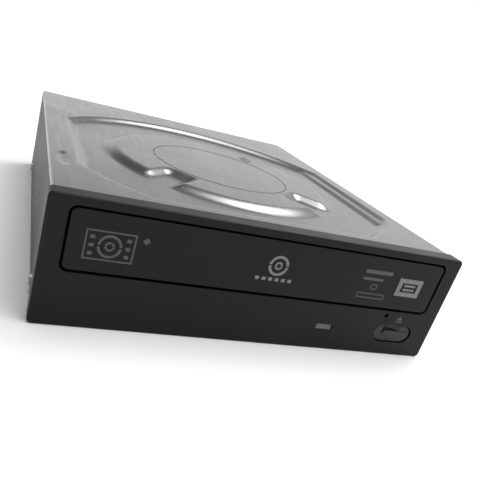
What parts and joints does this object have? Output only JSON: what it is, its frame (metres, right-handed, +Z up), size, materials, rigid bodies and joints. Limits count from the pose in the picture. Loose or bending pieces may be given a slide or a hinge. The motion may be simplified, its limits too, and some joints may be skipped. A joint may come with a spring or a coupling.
{
  "type": "tray-loading optical disc drive",
  "caption": "Half-height bay-mounted optical disc drive with a sliding disc tray, lifting spindle mechanism and sliding laser pickup in a pressed steel case.",
  "frame": {"origin": "centre of the underside of the whole drive's box", "axes": "+X to the right seen from the front, +Y from the bezel to the rear connector, +Z up"},
  "size_m": [0.148, 0.171, 0.042],
  "materials": {
    "pressed_steel": "satin galvanised pressed steel",
    "bezel_plastic": "fine-textured black moulded plastic",
    "key_plastic": "satin black moulded plastic",
    "chassis_plastic": "glass-filled black plastic",
    "tray_plastic": "satin black plastic",
    "gear_plastic": "natural acetal",
    "rubber": "matt black rubber",
    "screw_steel": "zinc plated",
    "polished_steel": "ground and polished",
    "dark_magnet": "nickel coated magnet",
    "board_green": "solder-masked circuit board",
    "chip_black": "moulded epoxy package",
    "gold_contact": "gold flash",
    "lens_glass": "clear moulded lens",
    "lamp_lens": "translucent diffusing plastic",
    "cast_metal": "die-cast zinc",
    "ribbon": "flat ribbon",
    "capacitor_can": "drawn can"
  },
  "bodies": {
    "root": {"top_cover": "pressed_steel", "bottom_cover": "pressed_steel", "case_screws": "screw_steel", "front_bezel": "bezel_plastic", "status_light_pipe": "lamp_lens", "front_board": "board_green", "eject_switch": "chip_black", "switch_plunger": "gear_plastic", "status_lamp": "lamp_lens", "board_ribbon": "ribbon", "main_chassis": "chassis_plastic", "clamper_bridge": "pressed_steel", "bridge_screws": "screw_steel", "loading_motor": "cast_metal", "motor_screws": "screw_steel", "drive_belt": "rubber", "main_board": "board_green", "board_screws": "screw_steel", "chips": "chip_black", "capacitors": "capacitor_can", "sata_connector": "chip_black", "sata_contacts": "gold_contact"},
    "tray": {"disc_tray": "tray_plastic", "tray_door": "bezel_plastic"},
    "eject_key": {"eject_button": "key_plastic"},
    "motor_wheel": {"motor_pulley": "gear_plastic"},
    "large_wheel": {"pulley_gear": "gear_plastic"},
    "rack_wheel": {"tray_gear": "gear_plastic"},
    "cam": {"cam_slider": "gear_plastic"},
    "mechanism": {"lift_frame": "chassis_plastic", "traverse_base": "pressed_steel", "rubber_dampers": "rubber", "damper_screws": "screw_steel", "spindle_board": "board_green", "spindle_stator": "dark_magnet", "guide_rods": "polished_steel", "rod_clips": "chassis_plastic", "sled_motor": "cast_metal", "screw_bracket": "pressed_steel"},
    "spindle": {"spindle_rotor": "cast_metal", "turntable": "chassis_plastic", "turntable_mat": "rubber"},
    "clamper": {"clamper_hub": "gear_plastic", "clamper_magnet": "dark_magnet"},
    "pickup": {"pickup_body": "cast_metal", "pickup_cover": "pressed_steel", "rack_follower": "gear_plastic", "actuator_magnets": "dark_magnet"},
    "lens": {"lens_holder": "chassis_plastic", "objective_lens": "lens_glass"},
    "screw": {"lead_screw": "polished_steel"}
  },
  "joints": [
    {"name": "tray_slide", "type": "slide", "parent": "root", "child": "tray", "axis": [0, -1, 0], "range_m": [0, 0.135]},
    {"name": "eject_press", "type": "slide", "parent": "root", "child": "eject_key", "axis": [0, 1, 0], "range_m": [0, 0.0008], "stiffness_N_per_m": 1000},
    {"name": "rack_wheel_spin", "type": "hinge", "parent": "root", "child": "rack_wheel", "pos_m": [-0.046, -0.0615, 0.023], "axis": [0, 0, 1], "continuous": true},
    {"name": "large_wheel_spin", "type": "hinge", "parent": "root", "child": "large_wheel", "pos_m": [-0.026, -0.0615, 0.019], "axis": [0, 0, 1], "continuous": true},
    {"name": "motor_wheel_spin", "type": "hinge", "parent": "root", "child": "motor_wheel", "pos_m": [0.006, -0.0615, 0.017], "axis": [0, 0, 1], "continuous": true},
    {"name": "cam_slide", "type": "slide", "parent": "root", "child": "cam", "axis": [1, 0, 0], "range_m": [0, 0.018]},
    {"name": "mechanism_lift", "type": "hinge", "parent": "root", "child": "mechanism", "pos_m": [0, 0.0695, 0.018], "axis": [-1, 0, 0], "range_deg": [0, 5.25]},
    {"name": "spindle_spin", "type": "hinge", "parent": "mechanism", "child": "spindle", "pos_m": [0, -0.01407, 0.02036], "axis": [0, -0.0915, 0.9958], "continuous": true},
    {"name": "clamper_spin", "type": "hinge", "parent": "root", "child": "clamper", "pos_m": [0, -0.0135, 0.036], "axis": [0, 0, 1], "continuous": true},
    {"name": "pickup_slide", "type": "slide", "parent": "mechanism", "child": "pickup", "axis": [0, 0.9958, 0.0915], "range_m": [0, 0.034]},
    {"name": "screw_spin", "type": "hinge", "parent": "mechanism", "child": "screw", "pos_m": [0.0285, 0.02423, 0.01886], "axis": [0, 0.9958, 0.0915], "continuous": true},
    {"name": "lens_focus", "type": "slide", "parent": "pickup", "child": "lens", "axis": [0, -0.0915, 0.9958], "range_m": [-0.0006, 0.0006], "stiffness_N_per_m": 20}
  ],
  "couplings": [
    {"joint": "rack_wheel_spin", "follows": "tray_slide", "rad_per_m": 83.333},
    {"joint": "large_wheel_spin", "follows": "tray_slide", "rad_per_m": -194.44},
    {"joint": "motor_wheel_spin", "follows": "tray_slide", "rad_per_m": -777.78},
    {"joint": "mechanism_lift", "follows": "cam_slide", "rad_per_m": 5.09},
    {"joint": "screw_spin", "follows": "pickup_slide", "rad_per_m": 5236}
  ]
}
